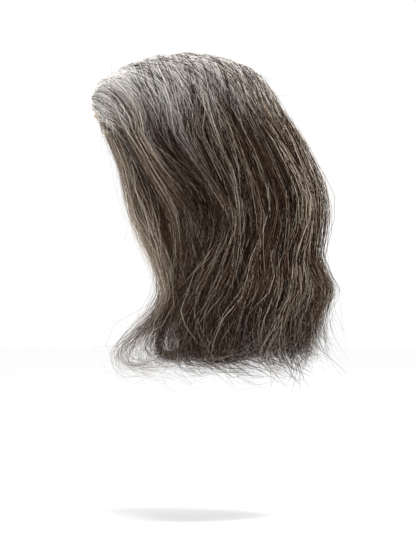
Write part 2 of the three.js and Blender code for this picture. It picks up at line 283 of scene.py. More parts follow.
# Tones run from the darkest strand at 0 to the brightest at 1. Fading silver is bright at the root only.
FRONT_SILVER = 0.9
# under is the under layer's lightest dark tone, kept low as painted shade between the outer strands.
DARK_TONE_AND_PAINTED_SHADE = {"from": 0.01, "under": 0.3, "outer": 0.55}
FADING_TONE = (0.66, 0.93)
LIGHT_TONE = (0.94, 0.995)
# Near the face the fading silver is raised towards its brightest tone: the hair's own silver, made brighter
# still as painted light on the hairline.
FACE_SILVER_AND_PAINTED_LIGHT = {"gain": 0.75, "shares": (0.16, 0.3)}
FADE_DIFFERS = 0.05
UV_STRIP = 0.004

FLOOR_Z = -0.455
FLOOR_SIZE = 12
VIEW_HEIGHT = 0.555
CAMERA_PLACE = (2.5, 0.018, -0.2135)
CAMERA_SENSOR = 36
LIGHT_AIM = (0, 0.02, -0.15)
LIGHTS = [
    {"name": "key", "place": (1.1, -1.4, 1.3), "watts": 110, "size": 0.8},
    {"name": "top", "place": (0.5, 0.3, 1.5), "watts": 72, "size": 1.0},
]


def smooth(value, low, high):
    """0 up to low, 1 from high on, and a soft step between."""
    u = np.clip((value - low) / (high - low), 0, 1)
    return u * u * (3 - 2 * u)


def swung(value, low, high, ease_in, ease_out):
    """0 up to low, 1 from high on, with an even rise between a soft start and a soft stop."""
    u = np.clip((value - low) / (high - low), 0, 1)
    even = 1 / (1 - ease_in / 2 - ease_out / 2)
    start, stop = even * u * u / (2 * ease_in), 1 - even * (1 - u) ** 2 / (2 * ease_out)
    return np.where(u < ease_in, start, np.where(u > 1 - ease_out, stop, even * (u - ease_in / 2)))


def mix(a, b, share):
    return a + (b - a) * share


def through_rows(keys, values, at):
    """Values between the rows of a table, on a smooth curve through them."""
    keys, values = np.asarray(keys, float), np.asarray(values, float)
    slopes = np.empty_like(values)
    slopes[1:-1] = (values[2:] - values[:-2]) / (keys[2:] - keys[:-2])
    slopes[0] = (values[1] - values[0]) / (keys[1] - keys[0])
    slopes[-1] = (values[-1] - values[-2]) / (keys[-1] - keys[-2])
    row = np.clip(np.searchsorted(keys, at, side="right") - 1, 0, len(keys) - 2)
    span = keys[row + 1] - keys[row]
    u = np.clip((at - keys[row]) / span, 0, 1)
    rise = values[row + 1] - values[row]
    slope_in, slope_out = slopes[row] * span, slopes[row + 1] * span
    bend = slope_in + slope_out - 2 * rise
    return values[row] + u * (slope_in + u * (3 * rise - 2 * slope_in - slope_out + u * bend))


def column(table, name):
    return np.array([row[name] for row in table], float)


def form_by_level():
    """The levels by column, with the place of each down the side: 0 at the crest and 1 at the temple."""
    form = {name: column(LEVELS, name) for name in LEVELS[0]}
    steps = np.hypot(np.diff(form["side"]), np.diff(form["z"]))
    form["place"] = np.concatenate([[0], np.cumsum(steps)])
    form["place"] /= form["place"][list(form["z"]).index(TEMPLE_Z)]
    return form


FORM = form_by_level()
HAIRLINE_PLACE = FORM["place"][list(FORM["z"]).index(HAIRLINE_Z)]
TIP_PLACE = FORM["place"][list(FORM["z"]).index(TIPS_Z)]


def form_at(name, place):
    return through_rows(FORM["place"], FORM[name], place)


def edge_angle(place):
    """The angle round the head, from the face, at which the hair begins at this place."""
    front = form_at("front", np.maximum(place, CREST_PLACE))
    reach = (HEAD_MIDDLE_Y - form_at("edge", place)) / (HEAD_MIDDLE_Y - front)
    return np.where(place <= HAIRLINE_PLACE, 0, np.arccos(np.clip(reach, -1, 1)))


def hang_angle(share, place):
    """The angle of hanging hair: share 0 is beside the face and 1 the middle of the back."""
    edge = edge_angle(place)
    start = mix(edge, np.minimum(edge, CALM_ANGLE), smooth(share, 0, CALM_SHARE))
    return start + share * (math.pi - start)


def fall(name, root):
    return through_rows(column(FALL, "root"), column(FALL, name), root)


def flow(share, way, forward, cross):
    """Place and angle of hairs: way 0 is the root, 1 the temple's level and 2 the tips.

    forward is how far towards the hairline a root lies, and cross how far beyond the middle of the head."""
    hang_place = 1 + (TIP_PLACE - 1) * np.maximum(way - 1, 0)
    hang = hang_angle(share, hang_place)
    from_hairline = np.clip(share / HAIRLINE_SHARE, 0, 1)
    end_angle = hang_angle(share, np.ones_like(way))
    end = np.sin(end_angle), -np.cos(end_angle)
    behind = smooth(share, HAIRLINE_SHARE, 2 * HAIRLINE_SHARE)
    bend_angle = end_angle * mix(mix(1, HAIRLINE_TURN, from_hairline), 1, behind)
    pull = mix(mix(1, HAIRLINE_PULL, from_hairline), SWEEP_PULL, behind)
    bend = pull * np.sin(bend_angle), -pull * np.cos(bend_angle)
    hairline_place = mix(TEMPLE_ROOT, HAIRLINE_PLACE, from_hairline)
    hairline_angle = edge_angle(hairline_place)
    back = np.sin(np.clip((share - HAIRLINE_SHARE) / (1 - HAIRLINE_SHARE), 0, 1) * math.pi / 2)
    at_hairline = share < HAIRLINE_SHARE
    root_x = np.where(at_hairline, hairline_place * np.sin(hairline_angle), -cross)
    recedes = HAIRLINE_RECEDES * 4 * from_hairline * (1 - from_hairline)
    hairline_y = recedes - hairline_place * np.cos(hairline_angle)
    parting_y = mix(-HAIRLINE_PLACE, PARTING_END, back * (1 - forward))
    root_y = np.where(at_hairline, hairline_y, parting_y)
    u = np.clip(way, 0, 1)
    plan_x = (1 - u) ** 2 * root_x + 2 * u * (1 - u) * bend[0] + u * u * end[0]
    plan_y = (1 - u) ** 2 * root_y + 2 * u * (1 - u) * bend[1] + u * u * end[1]
    hanging = way >= 1
    place = np.where(hanging, hang_place, np.hypot(plan_x, plan_y))
    angle = np.where(hanging, hang, np.arctan2(plan_x, -plan_y))
    return place, angle


def outer_points(place, angle):
    """Points on the hair's outer form."""
    front, back = HEAD_MIDDLE_Y - form_at("front", place), form_at("back", place) - HEAD_MIDDLE_Y
    reach = np.where(np.cos(angle) > 0, front, back)
    x = form_at("side", place) * np.sin(angle)
    return np.stack([x, HEAD_MIDDLE_Y - reach * np.cos(angle), form_at("z", place)], axis=-1)


def inner_points(outer, wall, lift=CAP_WALL):
    """Points under the outer form: on the cap, or a wall's thickness in if that is further out."""
    heart = np.zeros_like(outer)
    heart[..., 1] = HEAD_MIDDLE_Y
    heart[..., 2] = np.minimum(outer[..., 2], -HEAD_HEIGHT)
    ray = outer - heart
    sizes = np.array([HEAD_HALF_WIDTH, HEAD_HALF_LENGTH, HEAD_HEIGHT]) + lift
    below = np.maximum((heart[..., 2] + HEAD_HEIGHT) / sizes[2], -1)
    to_cap = np.sqrt(1 - below**2) / np.maximum(np.linalg.norm(ray / sizes, axis=-1), TINY)
    to_wall = 1 - wall / np.maximum(np.linalg.norm(ray, axis=-1), TINY)
    return heart + ray * np.maximum(to_cap, to_wall)[..., None]


def unit(vectors):
    return vectors / np.maximum(np.linalg.norm(vectors, axis=-1, keepdims=True), TINY)


def behind_face(share):
    """Shares of roots, drawn back a little from the edge of the hair beside the face."""
    return np.maximum(share, FACE_GAP + FACE_SQUEEZE * share)


def picked(table, rows):
    """The values of some rows of a table of columns, by name."""
    return SimpleNamespace(**{name: values[rows] for name, values in table.items()})


def section_locks(section, layer, rng):
    """The locks of a section: the share at which each one hangs, and how it differs from the others."""
    count, width = section["locks"], section["to"] - section["from"]
    share = behind_face(section["from"] + width * (np.arange(count) + rng.random(count)) / count)
    bunches = [share[lock - lock % LOCK["bunch"]:][:LOCK["bunch"]] for lock in range(count)]
    at_back = smooth(share, *BACK_SHARES)
    tip_calm = mix(1, LOCK["tip_at_back"], smooth(share, *LOCK["tip_shares"]))
    curl_differs = mix(LOCK["curl"], LOCK["curl_at_back"], at_back)
    fade_behind = LOCK["fade_behind"] * smooth(share, *LOCK["fade_shares"])
    return {
        "share": share,
        "at_back": at_back,
        "gather": np.array([bunch.mean() for bunch in bunches]) - share,
        "low": rng.random(count),
        "tip": section["tip"] + rng.normal(0, LOCK["tip"], count) * tip_calm,
        "wave": mix(1, rng.uniform(*LOCK["wave"], count), layer["wave"]),
        "curl": layer["curl"] * (fall("curl", share) + rng.normal(0, 1, count) * curl_differs),
        "slant": rng.normal(0, LOCK["slant"], count) * layer["wave"],
        "late": rng.normal(0, LOCK["late"], count) * layer["wave"],
        "light": rng.uniform(*LOCK["light"], count),
        "fade": rng.normal(0, LOCK["fade"], count) + fade_behind,
    }


def section_tufts(section, count, rng):
    """The tufts of a section: the lock of each, its place in that, its depth, its kinks and its silver."""
    lock = rng.integers(section["locks"], size=count)
    at_root = rng.normal(0, 1, count)
    return {
        "lock": lock,
        "at_root": at_root,
        "at_tip": TUFT["keeps"] * at_root + TUFT["shifts"] * rng.normal(0, 1, count),
        "depth": rng.random(count),
        "kink": rng.uniform(*KINK["height"], count),
        "kink_length": rng.uniform(*KINK["length"], count),
        "kink_turn": rng.random(count),
        "silver": section["silver"] + rng.uniform(-TUFT["silver"], TUFT["silver"], count),
    }


def section_strands(section, layer, rng):
    """The strands of a section: the lock and the tuft of each, where it starts and ends, and its kind."""
    count = int(section["strands"] * layer["share"])
    locks = section_locks(section, layer, rng)
    tufts = section_tufts(section, count // TUFT["strands"], rng)
    rows = rng.integers(count // TUFT["strands"], size=count)
    strand = SimpleNamespace(count=count, lock=picked(locks, tufts["lock"][rows]), tuft=picked(tufts, rows))
    strand.flyaway = rng.random(count) < FLYAWAY["share"] * layer["light"]
    strand.depth = mix(layer["highest"], layer["deepest"], strand.tuft.depth)
    strand.depth += rng.normal(0, STRAND["depth"], count)
    root = (1 - strand.depth) * rng.uniform(*STRAND["root"], count)
    strand.start = np.clip(root, layer["first_root"], STRAND["last_root"])
    strand.start += rng.uniform(0, STRAND["root_spread"], count)

    chance = SimpleNamespace(
        long=rng.random(count),
        shorter=rng.uniform(-SHORT["differs"], SHORT["differs"], count),
        wisp=rng.random(count),
        tip=rng.normal(0, STRAND["tip"], count),
        longer=rng.uniform(*WISP["longer"], count),
        lacks=rng.random(count),
    )
    strand.at_root = strand.tuft.at_root + rng.normal(0, STRAND["at_root"], count)
    strand.at_tip = strand.tuft.at_tip + rng.normal(0, STRAND["at_tip"] * layer["loose"], count)
    width = section["to"] - section["from"]
    strand.even_share = behind_face(section["from"] + width * rng.permutation(count) / count)
    end_strands(strand, chance, layer)
    return strand


def end_strands(strand, chance, layer):
    """Settles which strands are long, which of those are wisps, and how far down each one ends."""
    share = mix(strand.lock.share, strand.even_share, layer["even"])
    long_share = mix(LONG["face"] * layer["light"], LONG["behind"], smooth(share, *LONG["shares"]))
    strand.long = chance.long < long_share
    strand.wisp = strand.long & (chance.wisp < WISP["share"] * layer["light"])
    less = SHORT["less"] + chance.shorter * mix(SHORT["under_differs"], 1, layer["light"])
    at_side = smooth(share, *SIDE_STARTS) * (1 - smooth(share, *SIDE_ENDS))
    tip = strand.lock.tip + chance.tip + np.where(strand.wisp, chance.longer, 0)
    tip -= layer["shorter"] * chance.lacks * at_side * strand.long
    tip -= np.where(strand.long, 0, less)
    strand.end = np.clip(tip, strand.start + STRAND["shortest"], STRAND["lowest"])


def swept_shares(strand, way, section, layer, rng):
    """Shares down the strands as they sweep back, swing forward and curl back, and how far they swung."""
    lock = strand.lock
    width = section["to"] - section["from"]
    spread = mix(strand.at_root[:, None], strand.at_tip[:, None], smooth(way, *TUFT["spread_ways"]))
    spread = spread * layer["spread"] * width / section["locks"]
    gathered = smooth(way, *LOCK["gather_ways"]) * layer["wave"]
    gathered = gathered * (1 - smooth(lock.share, *LOCK["loose_shares"]))[:, None]
    clump = mix(1, layer["clump"], smooth(way, *TUFT["clump_ways"]))
    spread *= clump * mix(1, LOCK["gathered_spread"], gathered)
    root = lock.share[:, None] + LOCK["gather"] * lock.gather[:, None] * gathered + spread
    root = mix(root, strand.even_share[:, None], layer["even"])

    late = (lock.late + rng.normal(0, STRAND["late"], strand.count))[:, None]
    turn, turn_way = fall("turn", root), fall("turn_way", root) + late
    sweep = layer["sweep"] * lock.wave[:, None]
    share = mix(root, turn, layer["turn"] * swung(way, SWEEP_FROM, turn_way, *SWEEP_EASE))
    fore = swung(way, turn_way, FORE_WAY + late, *FORE_EASE)
    share += sweep * (fall("fore", root) - turn) * fore
    curl_back = CURL_BACK["share"] * sweep * mix(1, CURL_BACK["at_back"], smooth(root, *CURL_BACK["shares"]))
    share += curl_back * smooth(way, FORE_WAY + late, CURL_WAY + late)
    slant = lock.slant[:, None] * (smooth(way, *SLANT_WAYS) - 0.5)
    return np.clip(share + slant, *SHARE_LIMITS), fore


def strand_heights(strand, way, share, fore, layer):
    """Heights down the strands: 0 is on the cap and 1 on the outer form of the hair."""
    lock = strand.lock
    root_rise = mix(ROOT_RISE["face"], ROOT_RISE["behind"], smooth(lock.share, *ROOT_RISE["shares"]))
    lift = smooth(way - strand.start[:, None], 0, root_rise[:, None])
    low = LOW_LOCK["depth"] * lock.low[:, None] * smooth(way, *LOW_LOCK["ways"])
    wave = WAVE_LIFT["height"] * smooth(way, *WAVE_LIFT["ways"]) * lock.wave[:, None]
    wave = wave * np.sin(math.pi * (fore - 0.5))
    round_off = (share - TUCK["share"]) / TUCK["share_reach"]
    down_off = (way - TUCK["way"]) / TUCK["way_reach"]
    tucked = 1 - TUCK["depth"] * np.exp(-(round_off**2 + down_off**2))
    over_head = mix(layer["top"], 1, strand.depth)
    level = mix(over_head[:, None], strand.depth[:, None], smooth(way, *HANG_WAYS))
    return np.clip((level - low + wave) * lift * tucked, 0, HIGHEST)


def kink_strands(strand, path, out, room, way, along, rng):
    """Kinks the strands, lets flyaways stray off the hair, and lets all wander towards their tips."""
    count, tuft = strand.count, strand.tuft
    side = unit(np.cross(unit(np.gradient(path, axis=1)), out))
    kink = tuft.kink * rng.lognormal(0, KINK["differs"], count) * np.where(strand.flyaway, KINK["flyaway"], 1)
    grown = mix(KINK["at_root"], 1, smooth(way, *KINK["grow_ways"])) + smooth(way, *KINK["more_ways"])
    kink = kink[:, None] * grown
    turns = way * WAY_LENGTH / tuft.kink_length[:, None]
    first_turn = tuft.kink_turn + rng.normal(0, KINK["turn_differs"], count)
    angle = 2 * math.pi * (turns + first_turn[:, None])
    path += side * (kink * np.sin(angle))[..., None]
    path += out * (kink * room * np.cos(KINK["out_pace"] * angle))[..., None]
    grows = along ** STRAND["wander_grows"]
    off = np.where(strand.flyaway, rng.uniform(*FLYAWAY["off"], count), 0)
    path += out * (off[:, None] * grows)[..., None]
    wander = rng.normal(0, 1, (count, 1, 3))
    wander = wander * np.where(strand.flyaway, FLYAWAY["wander"], STRAND["wander"])[:, None, None]
    path += wander * grows[..., None]


def curl_strands(strand, path, out, rng):
    """Curls the tips: long strands most, wisps into loops, and those at the back inward."""
    count, lock = strand.count, strand.lock
    aside = rng.normal(0, 1, count) * mix(CURL["aside"], CURL["aside_at_back"], lock.at_back)
    backward = rng.random(count) < mix(1, WISP["backward"], smooth(lock.share, *WISP["shares"]))
    loop = np.where(backward, 1, -1) * rng.uniform(*WISP["loop"], count)
    turn = lock.curl + rng.normal(0, 1, count) * mix(CURL["differs"], CURL["differs_at_back"], lock.at_back)
    turn = np.where(lock.share < CURL["face_share"], np.abs(turn), turn)
    turn = np.sign(turn) * np.maximum(np.abs(turn), CURL["least"])
    turn = np.where(strand.wisp, loop, turn * np.where(strand.long, 1, SHORT["curl"]))
    aside += np.sign(turn) * CURL["inward"] * lock.at_back
    bend_tips(path, out, aside, turn)


def strand_finish(strand, section, layer, way, along, rng):
    """Widths down the strands, their tones, and how far they have fallen, which fades the silver."""
    count, lock = strand.count, strand.lock
    taper = mix(TAPER["root"], 1, smooth(along, *TAPER["root_part"]))
    taper = taper * mix(1, TAPER["tip"], smooth(along, *TAPER["tip_part"]))
    silver = rng.random(count) < mix(strand.tuft.silver, FRONT_SILVER, strand.forward)
    light = rng.random(count) < section["light"] * layer["light"] * lock.light
    fine = np.where(silver, np.where(light, LIGHT_WIDTH, SILVER_WIDTH), 1)
    thick = STRAND_WIDTH * rng.uniform(*WIDTH_DIFFERS, count) * fine
    thick *= layer["width"] * mix(FACE_WIDTH["width"], 1, smooth(lock.share, *FACE_WIDTH["shares"]))
    widths = np.where(strand.flyaway | strand.wisp, FLYAWAY["width"], thick)[:, None] * taper

    # Painted shade: strands of the under layer get darker tones than the outer ones.
    darkest, lightest = DARK_TONE_AND_PAINTED_SHADE["from"], mix(DARK_TONE_AND_PAINTED_SHADE["under"], DARK_TONE_AND_PAINTED_SHADE["outer"], layer["light"])
    dark_tone = rng.uniform(darkest, lightest, count)
    light_tone, fading_tone = rng.uniform(*LIGHT_TONE, count), rng.uniform(*FADING_TONE, count)
    # Painted light: fading silver near the face is raised towards its brightest tone.
    near_face = 1 - smooth(lock.share, *FACE_SILVER_AND_PAINTED_LIGHT["shares"])
    fading_tone = mix(fading_tone, FADING_TONE[1], FACE_SILVER_AND_PAINTED_LIGHT["gain"] * near_face)
    tone = np.where(silver, np.where(light, light_tone, fading_tone), dark_tone)
    fallen = way / 2 + (lock.fade + rng.normal(0, FADE_DIFFERS, count))[:, None]
    return widths, tone, np.clip(fallen, 0, 1)


def strand_paths(section, layer, rng):
    """Centre lines, outward directions, widths and tones of one section's strands, on the wearer's left."""
    strand = section_strands(section, layer, rng)
    count = strand.count
    along = np.repeat(np.linspace(0, 1, PATH_POINTS)[None, :], count, axis=0)
    way = mix(strand.start[:, None], strand.end[:, None], along)
    share, fore = swept_shares(strand, way, section, layer, rng)
    height = strand_heights(strand, way, share, fore, layer)

    over_top = smooth(strand.lock.share, *OVER_TOP_SHARES)
    moved = rng.random(count) < FORWARD["share"]
    strand.forward = over_top * np.where(moved, 1 - FORWARD["differs"] * rng.random(count) ** 2, 0)
    cross = over_top * rng.uniform(*CROSS, count)
    place, angle = flow(share, way, strand.forward[:, None], cross[:, None])
    outer = outer_points(place, angle)
    thin = mix(THIN_EDGE["wall"], 1, smooth(share, 0, THIN_EDGE["share"]))
    inner = inner_points(outer, form_at("wall", place) * mix(1, thin, smooth(way, *THIN_EDGE["ways"])))
    out = unit(outer - inner)
    path = inner + (outer - inner) * height[..., None]

    room = np.clip(height * np.linalg.norm(outer - inner, axis=-1) / KINK["room"], 0, 1)
    kink_strands(strand, path, out, room, way, along, rng)
    curl_strands(strand, path, out, rng)
    path = clear_of_cap(kept_in(path), layer["clear"])
    path, out, way, along = with_rings(layer["rings"], path, out, way, along)
    return path, out, *strand_finish(strand, section, layer, way, along, rng)


def kept_in(path):
    """Draws in what strays far outside the size of the wig."""
    low, high = np.array(cad_box[0]) / MM - STRAY, np.array(cad_box[1]) / MM + STRAY
    middle, half = (low + high) / 2, (high - low) / 2
    off = path - middle
    over = np.maximum(np.abs(off) - (half - STRAY), 0)
    reach = np.minimum(np.abs(off), half - STRAY) + STRAY * np.tanh(over / STRAY)
    return middle + np.sign(off) * reach


def clear_of_cap(path, clear):
    """Moves what would lie on or inside the cap out until it is clear of it."""
    middle = np.array([0, HEAD_MIDDLE_Y, -HEAD_HEIGHT])
    sizes = np.array([HEAD_HALF_WIDTH, HEAD_HALF_LENGTH, HEAD_HEIGHT]) + CAP_WALL + clear
    off = path - middle
    reach = np.linalg.norm(off / sizes, axis=-1, keepdims=True)
    return middle + off / np.clip(reach, TINY, 1)


def fuzz_paths(path, out, tone, fallen, rng):
    """Short fine hairs that leave the outer strands and curl off them."""
    count, rings = int(len(path) * FUZZ["share"]), FUZZ["rings"]
    strand = rng.integers(len(path), size=count)
    ring = rng.integers(1, path.shape[1] - 2, size=count)
    root, away = path[strand, ring], out[strand, ring]
    ahead = unit(path[strand, ring + 1] - root)
    side = np.cross(ahead, away)
    bend = unit(away * rng.uniform(*FUZZ["off"], count)[:, None] + side * rng.normal(0, 1, count)[:, None])
    curl = rng.uniform(*FUZZ["curl"], count)[:, None]
    length = rng.uniform(*FUZZ["length"], count)[:, None]
    length *= mix(FUZZ["over_head"], 1, smooth(fallen[strand, ring], *FUZZ["fallen"]))[:, None]
    gone = np.linspace(0, 1, rings)[None, :]
    along_ahead = length * np.sin(curl * gone) / curl
    along_bend = length * (1 - np.cos(curl * gone)) / curl
    hairs = root[:, None] + along_ahead[..., None] * ahead[:, None] + along_bend[..., None] * bend[:, None]
    hairs = clear_of_cap(kept_in(hairs), FUZZ["clear"])
    outward = np.repeat(away[:, None], rings, axis=1)
    widths = np.full((count, rings), FUZZ["width"]) * mix(1, FUZZ["tip"], gone)
    fallen = np.repeat(fallen[strand, ring][:, None], rings, axis=1)
    return hairs, outward, widths, tone[strand], fallen


def with_rings(rings, path, *others):
    """Strands and what goes with them at fewer points, closer together where a strand bends."""
    legs = np.diff(path, axis=1)
    lengths = np.linalg.norm(legs, axis=-1)
    corners = np.linalg.norm(np.diff(unit(legs), axis=1), axis=-1)
    corners = np.pad(corners, ((0, 0), (1, 1)), mode="edge")
    bends = corners[:, 1:] + corners[:, :-1]
    steps = lengths / lengths.sum(axis=1, keepdims=True)
    steps += BEND_WEIGHT * bends / np.maximum(bends.sum(axis=1, keepdims=True), TINY)
    gone = np.pad(np.cumsum(steps, axis=1), ((0, 0), (1, 0)))
    gone /= gone[:, -1:]
    at = np.linspace(0, 1, rings)
    before = np.clip((gone[:, None, :] <= at[None, :, None]).sum(axis=-1) - 1, 0, gone.shape[1] - 2)
    row = np.arange(len(path))[:, None]
    part = (at - gone[row, before]) / (gone[row, before + 1] - gone[row, before])
    spaced = []
    for values in (path, *others):
        share = part[..., None] if values.ndim == 3 else part
        spaced.append(mix(values[row, before], values[row, before + 1], share))
    return spaced


def bend_tips(path, out, aside, turn):
    """Bends the last points of each strand by its turn, in a plane that leaves the hair's surface."""
    first = PATH_POINTS - CURL["points"]
    legs = np.diff(path[:, first - 1:], axis=1)
    ahead = unit(legs[:, 0])
    side = unit(np.cross(ahead, out[:, first]))
    up = np.cross(side, ahead)
    axis = np.cos(aside)[:, None] * up - np.sin(aside)[:, None] * side
    axis = np.broadcast_to(axis[:, None], legs.shape)
    gone = np.cumsum(np.linalg.norm(legs, axis=-1), axis=1)
    angle = (turn[:, None] * (gone / gone[:, -1:]) ** CURL["tightens"])[..., None]
    over = axis * np.sum(axis * legs, axis=-1, keepdims=True)
    turned = legs * np.cos(angle) + np.cross(axis, legs) * np.sin(angle) + over * (1 - np.cos(angle))
    path[:, first:] = path[:, first - 1, None] + np.cumsum(turned, axis=1)


def strand_mesh(name, path, out, widths, tone, fallen):
    """Three-sided closed strands along the centre lines, joined into one mesh, mapped by tone and fall."""
    count, rings = path.shape[:2]
    ahead = unit(np.gradient(path, axis=1))
    side = unit(np.cross(ahead, out))
    up = np.cross(side, ahead)
    reach = widths[..., None] / 2
    turns = 2 * math.pi * np.arange(SIDES) / SIDES
    corners = [path + reach * (math.cos(turn) * up + math.sin(turn) * side) for turn in turns]
    points = np.stack(corners, axis=2).reshape(-1, 3) * MM

    first = (np.arange(count) * rings * SIDES)[:, None, None]
    ring = (np.arange(rings - 1) * SIDES)[None, :, None]
    corner = np.arange(SIDES)
    a, b = first + ring + corner, first + ring + (corner + 1) % SIDES
    quads = np.stack([a, b, b + SIDES, a + SIDES], axis=-1).reshape(-1, 4)
    root = first[:, 0] + -corner % SIDES
    tip = first[:, 0] + (rings - 1) * SIDES + corner

    mesh = bpy.data.meshes.new(name)
    mesh.vertices.add(len(points))
    mesh.vertices.foreach_set("co", points.astype(np.float32).ravel())
    loops = np.concatenate([quads.ravel(), root.ravel(), tip.ravel()])
    sizes = np.concatenate([np.full(len(quads), 4), np.full(2 * count, SIDES)])
    starts = np.concatenate([[0], np.cumsum(sizes)[:-1]])
    mesh.loops.add(len(loops))
    mesh.loops.foreach_set("vertex_index", loops.astype(np.int32))
    mesh.polygons.add(len(sizes))
    mesh.polygons.foreach_set("loop_start", starts.astype(np.int32))
    mesh.polygons.foreach_set("use_smooth", np.ones(len(sizes), bool))
    mesh.update(calc_edges=True)

    strand = loops // (rings * SIDES)
    ring = loops // SIDES % rings
    strip = (loops % SIDES - 1) * UV_STRIP / 2
    uv = np.stack([np.clip(tone[strand] + strip, 0, 1), fallen[strand, ring]], axis=-1)
    layer = mesh.uv_layers.new(name="OFBake")
    layer.data.foreach_set("uv", uv.astype(np.float32).ravel())
    piece = bpy.data.objects.new(name, mesh)
    bpy.context.collection.objects.link(piece)
    return piece


def colour(red, green, blue):
    """A colour given as it looks on screen, as the linear one that shaders take."""
    def linear(value):
        value /= 255
        return value / 12.92 if value <= 0.04045 else ((value + 0.055) / 1.055) ** 2.4
    return linear(red), linear(green), linear(blue), 1


def material(name):
    made = bpy.data.materials.new(name)
    made.use_nodes = True
    nodes, links = made.node_tree.nodes, made.node_tree.links
    return made, nodes, links, nodes["Principled BSDF"]


def colour_ramp(nodes, stops):
    ramp = nodes.new("ShaderNodeValToRGB")
    ramp.color_ramp.elements[0].position, ramp.color_ramp.elements[0].color = stops[0]
    ramp.color_ramp.elements[1].position, ramp.color_ramp.elements[1].color = stops[-1]
    for place, tint in stops[1:-1]:
        ramp.color_ramp.elements.new(place).color = tint
    return ramp


def map_range(nodes, from_range, to_range):
    node = nodes.new("ShaderNodeMapRange")
    node.inputs["From Min"].default_value, node.inputs["From Max"].default_value = from_range
    node.inputs["To Min"].default_value, node.inputs["To Max"].default_value = to_range
    return node


def hair_material():
    """Salt and pepper hair: across the map from the darkest brown to silver, along it down the fall, with
    painted shade towards the tips.
    """
    made, nodes, links, shader = material("salt_and_pepper_hair")
    strand_map = nodes.new("ShaderNodeUVMap")
    strand_map.uv_map = "OFBake"
    parts = nodes.new("ShaderNodeSeparateXYZ")
    links.new(strand_map.outputs["UV"], parts.inputs["Vector"])
    root = colour_ramp(nodes, [
        (0.0, colour(30, 25, 22)),
        (0.35, colour(78, 70, 64)),
        (0.6, colour(120, 112, 105)),
        (0.64, colour(176, 171, 166)),
        (1.0, colour(250, 248, 245)),
    ])
    length = colour_ramp(nodes, [
        (0.0, colour(11, 5, 2)),
        (0.35, colour(40, 26, 17)),
        (0.6, colour(80, 60, 45)),
        (0.64, colour(27, 18, 11)),
        (0.93, colour(75, 57, 44)),
        (0.94, colour(130, 113, 97)),
        (1.0, colour(214, 201, 185)),
    ])
    links.new(parts.outputs["X"], root.inputs["Fac"])
    links.new(parts.outputs["X"], length.inputs["Fac"])
    aged = map_range(nodes, (0.1, 0.5), (0.0, 1.0))
    links.new(parts.outputs["Y"], aged.inputs["Value"])
    blend = nodes.new("ShaderNodeMix")
    blend.data_type = "RGBA"
    links.new(aged.outputs["Result"], blend.inputs["Factor"])
    links.new(root.outputs["Color"], blend.inputs["A"])
    links.new(length.outputs["Color"], blend.inputs["B"])
    stretch = nodes.new("ShaderNodeMapping")
    stretch.inputs["Scale"].default_value = (90, 7, 1)
    links.new(strand_map.outputs["UV"], stretch.inputs["Vector"])
    streaks = nodes.new("ShaderNodeTexNoise")
    streaks.noise_dimensions = "2D"
    streaks.inputs["Scale"].default_value = 1
    links.new(stretch.outputs["Vector"], streaks.inputs["Vector"])
    streak_tone = map_range(nodes, (0.3, 0.7), (0.6, 1.4))
    links.new(streaks.outputs["Fac"], streak_tone.inputs["Value"])
    # Painted shade: the base colour darkens towards the tips, down the fall.
    painted_tip_shade = map_range(nodes, (0.62, 0.9), (1.0, 0.88))
    links.new(parts.outputs["Y"], painted_tip_shade.inputs["Value"])
    streak_tone_and_painted_shade = nodes.new("ShaderNodeMath")
    streak_tone_and_painted_shade.operation = "MULTIPLY"
    links.new(streak_tone.outputs["Result"], streak_tone_and_painted_shade.inputs[0])
    links.new(painted_tip_shade.outputs["Result"], streak_tone_and_painted_shade.inputs[1])
    streaked = nodes.new("ShaderNodeMix")
    streaked.data_type = "RGBA"
    streaked.blend_type = "MULTIPLY"
    streaked.inputs["Factor"].default_value = 1
    links.new(blend.outputs["Result"], streaked.inputs["A"])
    links.new(streak_tone_and_painted_shade.outputs["Value"], streaked.inputs["B"])
    links.new(streaked.outputs["Result"], shader.inputs["Base Color"])
    shader.inputs["Roughness"].default_value = 0.55
    shader.inputs["Specular IOR Level"].default_value = 0.05
    return made


def hair():
    finish = hair_material()
    for number, section in enumerate(SECTIONS):
        for side_number, side in enumerate(("left", "right")):
            seed = SEED["first"] + SEED["by_section"] * number + SEED["by_side"] * side_number
            rng = np.random.default_rng(seed)
            name = f"strands_{section['name']}_{side}"
            bpy.ops.object.select_all(action="DESELECT")
            layers = [strand_paths(section, layer, rng) for layer in LAYERS]
            path, out, _, tone, fallen = layers[-1]
            layers.append(fuzz_paths(path, out, tone, fallen, rng))
            for path, out, widths, tone, fallen in layers:
                if side == "right":
                    path, out = path * [-1, 1, 1], out * [-1, 1, 1]
                piece = strand_mesh(name, path, out, widths, tone, fallen)
                piece.select_set(True)
                bpy.context.view_layer.objects.active = piece
            bpy.ops.object.join()
            piece = bpy.context.object
            piece.name = name
            piece.data.materials.append(finish)
            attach(piece, "root")
            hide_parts(f"hair_{section['name']}_{side}")


def head_points(azimuth, polar, lift):
    """Points over the head: azimuth from the face to the wearer's left, polar down from the crown."""
    around, down = np.radians(azimuth), np.radians(polar)
    x = (HEAD_HALF_WIDTH + lift) * np.sin(down) * np.sin(around)
    y = HEAD_MIDDLE_Y - (HEAD_HALF_LENGTH + lift) * np.sin(down) * np.cos(around)
    z = (HEAD_HEIGHT + lift) * np.cos(down) - HEAD_HEIGHT
    return np.stack([x, y, z], axis=-1)


def cap_edge(azimuth):
    turned = np.abs(np.where(azimuth > 180, azimuth - 360, azimuth))
    return through_rows(column(CAP_EDGE, "azimuth"), column(CAP_EDGE, "polar"), turned)


